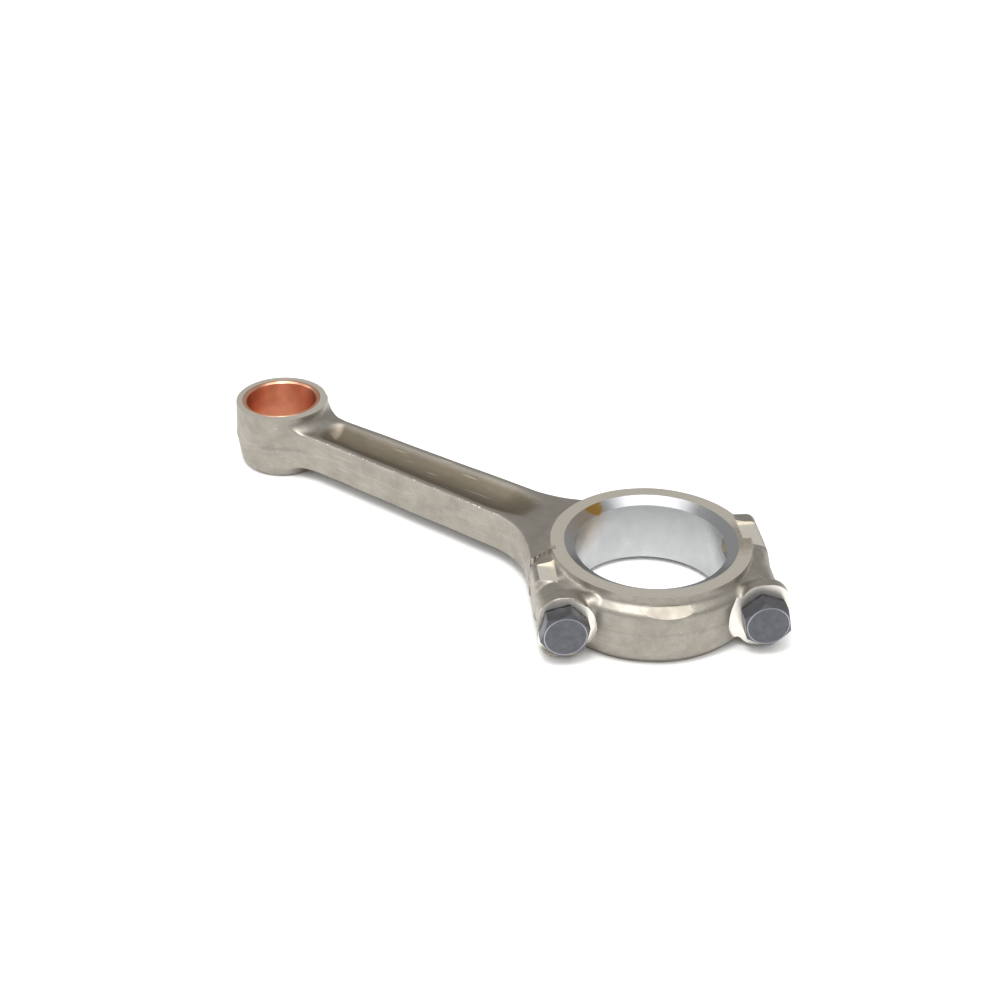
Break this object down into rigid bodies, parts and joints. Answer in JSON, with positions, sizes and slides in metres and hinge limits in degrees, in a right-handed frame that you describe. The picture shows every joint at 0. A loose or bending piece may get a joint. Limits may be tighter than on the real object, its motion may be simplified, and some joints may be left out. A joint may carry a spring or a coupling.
{
  "type": "connecting rod",
  "caption": "Forged I-section connecting rod with a bushed small end and an obliquely split, serrated big end whose cap is held by hexagon-headed screws.",
  "frame": {"origin": "centre of the crankpin bore at mid width", "axes": "+Z along both bores, -X from the crankpin bore towards the small end, the cap leaves along +X-Y at 48 degrees from +X"},
  "size_m": [0.3124, 0.1246, 0.0334],
  "materials": {
    "forged_steel": "shot-blasted forged steel with machined bores and faces",
    "cap_steel": "shot-blasted forged steel with machined bore, faces and screw seats",
    "bush_bronze": "fine-bored copper-coloured lead bronze",
    "black_steel": "black oxide, satin"
  },
  "bodies": {
    "rod": {"rod_body": "forged_steel", "small_end_bush": "bush_bronze"},
    "cap": {"bearing_cap": "cap_steel"},
    "left_screw": {"cap_screw_left": "black_steel"},
    "right_screw": {"cap_screw_right": "black_steel"}
  },
  "joints": [
    {"name": "cap_removal", "type": "slide", "parent": "rod", "child": "cap", "axis": [0.6691, -0.7431, 0], "range_m": [0, 0.02667]},
    {"name": "left_screw_turn", "type": "hinge", "parent": "cap", "child": "left_screw", "pos_m": [-0.03222, -0.02901, 0], "axis": [0.6691, -0.7431, 0], "range_deg": [0, 7560]},
    {"name": "right_screw_turn", "type": "hinge", "parent": "cap", "child": "right_screw", "pos_m": [0.03222, 0.02901, 0], "axis": [0.6691, -0.7431, 0], "range_deg": [0, 7560]}
  ],
  "couplings": [
    {"joint": "left_screw_turn", "follows": "cap_removal", "rad_per_m": 4947.4},
    {"joint": "right_screw_turn", "follows": "cap_removal", "rad_per_m": 4947.4}
  ]
}
